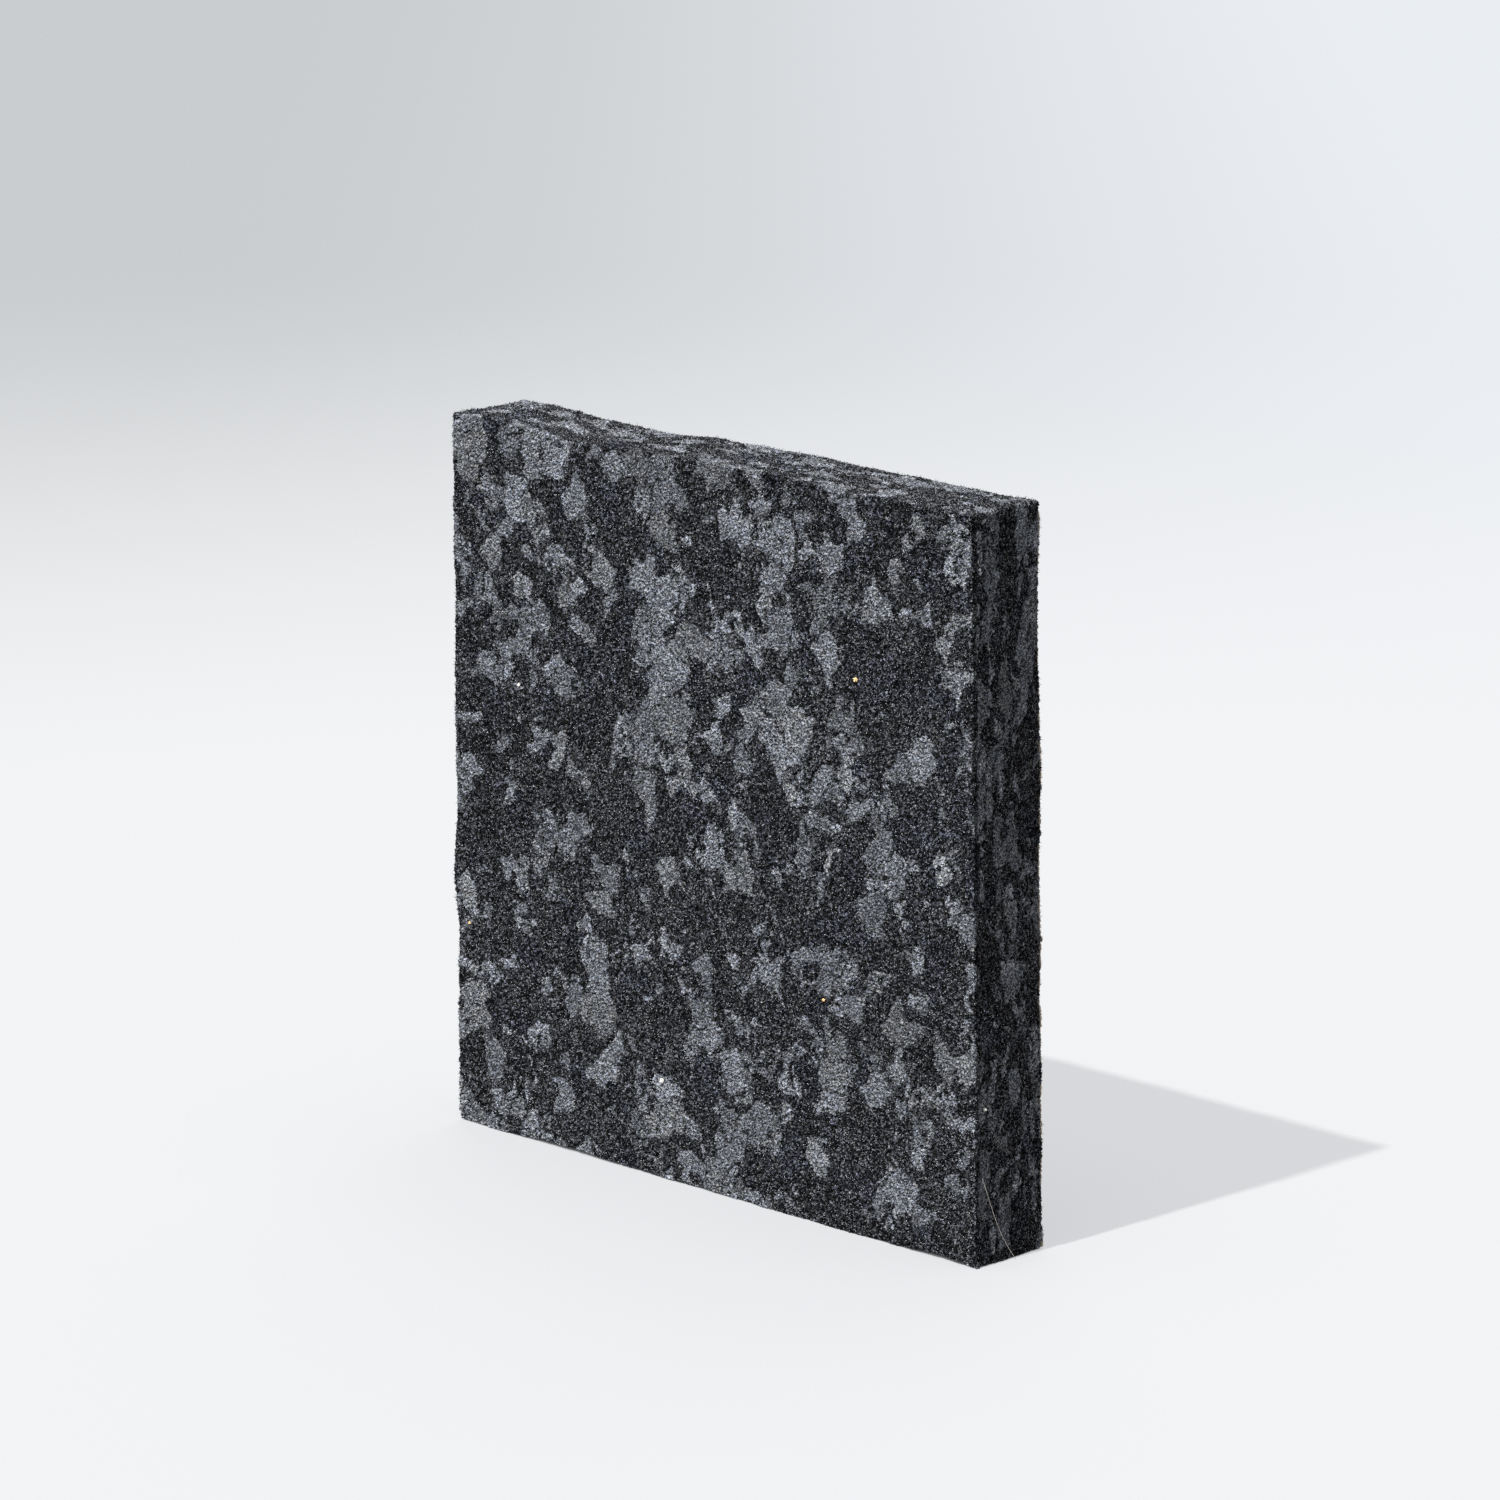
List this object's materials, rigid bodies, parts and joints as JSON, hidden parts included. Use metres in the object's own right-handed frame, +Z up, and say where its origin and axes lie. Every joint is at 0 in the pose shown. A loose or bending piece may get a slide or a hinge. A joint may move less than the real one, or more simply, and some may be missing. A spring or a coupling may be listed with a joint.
{
  "type": "rebonded foam slab",
  "caption": "Square slab of rebonded foam: dark and grey foam chips pressed flat, glued and sawn, standing on one narrow cut edge.",
  "frame": {"origin": "on the ground, under the middle of the slab as it stands on its narrow cut edge", "axes": "+Z up; +X along the width; +Y through the thickness, from the broad front face to the broad back face"},
  "size_m": [0.15, 0.02, 0.15],
  "materials": {
    "charcoal_foam": "matte open-cell foam, charcoal",
    "slate_grey_foam": "matte open-cell foam, bluish grey",
    "stone_grey_foam": "matte open-cell foam, neutral grey",
    "dark_navy_foam": "matte open-cell foam, dark navy"
  },
  "bodies": {
    "root": {"charcoal_chip_01": "charcoal_foam", "charcoal_chip_02": "charcoal_foam", "charcoal_chip_03": "charcoal_foam", "charcoal_chip_04": "charcoal_foam", "charcoal_chip_05": "charcoal_foam", "charcoal_chip_06": "charcoal_foam", "charcoal_chip_07": "charcoal_foam", "charcoal_chip_08": "charcoal_foam", "charcoal_chip_09": "charcoal_foam", "charcoal_chip_10": "charcoal_foam", "charcoal_chip_11": "charcoal_foam", "charcoal_chip_12": "charcoal_foam", "charcoal_chip_13": "charcoal_foam", "charcoal_chip_14": "charcoal_foam", "charcoal_chip_15": "charcoal_foam", "charcoal_chip_16": "charcoal_foam", "charcoal_chip_17": "charcoal_foam", "charcoal_chip_18": "charcoal_foam", "charcoal_chip_19": "charcoal_foam", "charcoal_chip_20": "charcoal_foam", "charcoal_chip_21": "charcoal_foam", "charcoal_chip_22": "charcoal_foam", "charcoal_chip_23": "charcoal_foam", "charcoal_chip_24": "charcoal_foam", "charcoal_chip_25": "charcoal_foam", "charcoal_chip_26": "charcoal_foam", "charcoal_chip_27": "charcoal_foam", "charcoal_chip_28": "charcoal_foam", "charcoal_chip_29": "charcoal_foam", "dark_navy_chip_01": "dark_navy_foam", "dark_navy_chip_02": "dark_navy_foam", "dark_navy_chip_03": "dark_navy_foam", "dark_navy_chip_04": "dark_navy_foam", "dark_navy_chip_05": "dark_navy_foam", "dark_navy_chip_06": "dark_navy_foam", "slate_grey_chip_01": "slate_grey_foam", "slate_grey_chip_02": "slate_grey_foam", "slate_grey_chip_03": "slate_grey_foam", "slate_grey_chip_04": "slate_grey_foam", "slate_grey_chip_05": "slate_grey_foam", "slate_grey_chip_06": "slate_grey_foam", "slate_grey_chip_07": "slate_grey_foam", "slate_grey_chip_08": "slate_grey_foam", "slate_grey_chip_09": "slate_grey_foam", "slate_grey_chip_10": "slate_grey_foam", "slate_grey_chip_11": "slate_grey_foam", "slate_grey_chip_12": "slate_grey_foam", "stone_grey_chip_01": "stone_grey_foam", "stone_grey_chip_02": "stone_grey_foam", "stone_grey_chip_03": "stone_grey_foam", "stone_grey_chip_04": "stone_grey_foam", "stone_grey_chip_05": "stone_grey_foam", "stone_grey_chip_06": "stone_grey_foam", "stone_grey_chip_07": "stone_grey_foam", "stone_grey_chip_08": "stone_grey_foam"}
  },
  "joints": []
}
